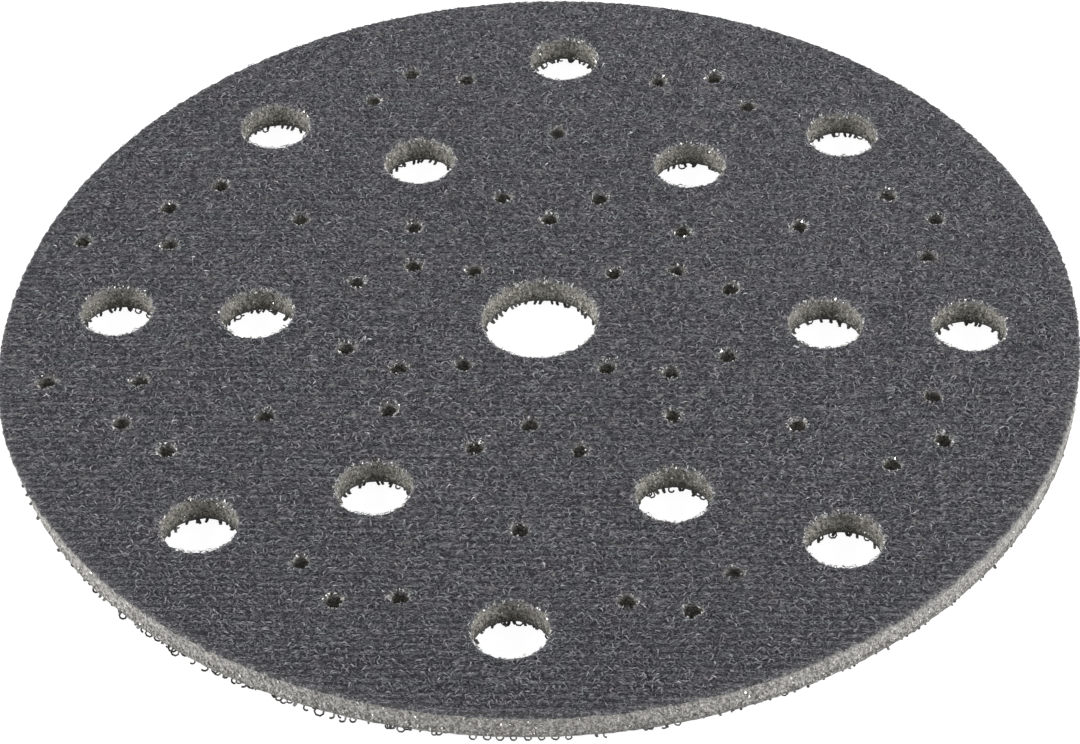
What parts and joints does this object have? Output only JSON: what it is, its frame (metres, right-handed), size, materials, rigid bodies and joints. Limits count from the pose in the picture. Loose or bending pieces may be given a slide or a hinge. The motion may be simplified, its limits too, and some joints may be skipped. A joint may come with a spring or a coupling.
{
  "type": "sanding interface pad",
  "caption": "Round soft foam disc that goes between a random orbital sander's backing pad and the abrasive, velour on one side and hooks on the other, punched for dust extraction.",
  "frame": {"origin": "centre of the disc, on the plane of the hook tips that it rests on", "axes": "+Z out of the velour face, +X towards one hole of each dust circle"},
  "size_m": [0.15, 0.15, 0.005],
  "materials": {
    "velour": "dark blue-grey brushed loop velour",
    "foam": "grey open-cell polyurethane foam",
    "hooks": "dark woven nylon with translucent grey hooks"
  },
  "bodies": {
    "root": {"velour_face": "velour", "foam_core": "foam", "hook_backing": "hooks"}
  },
  "joints": []
}
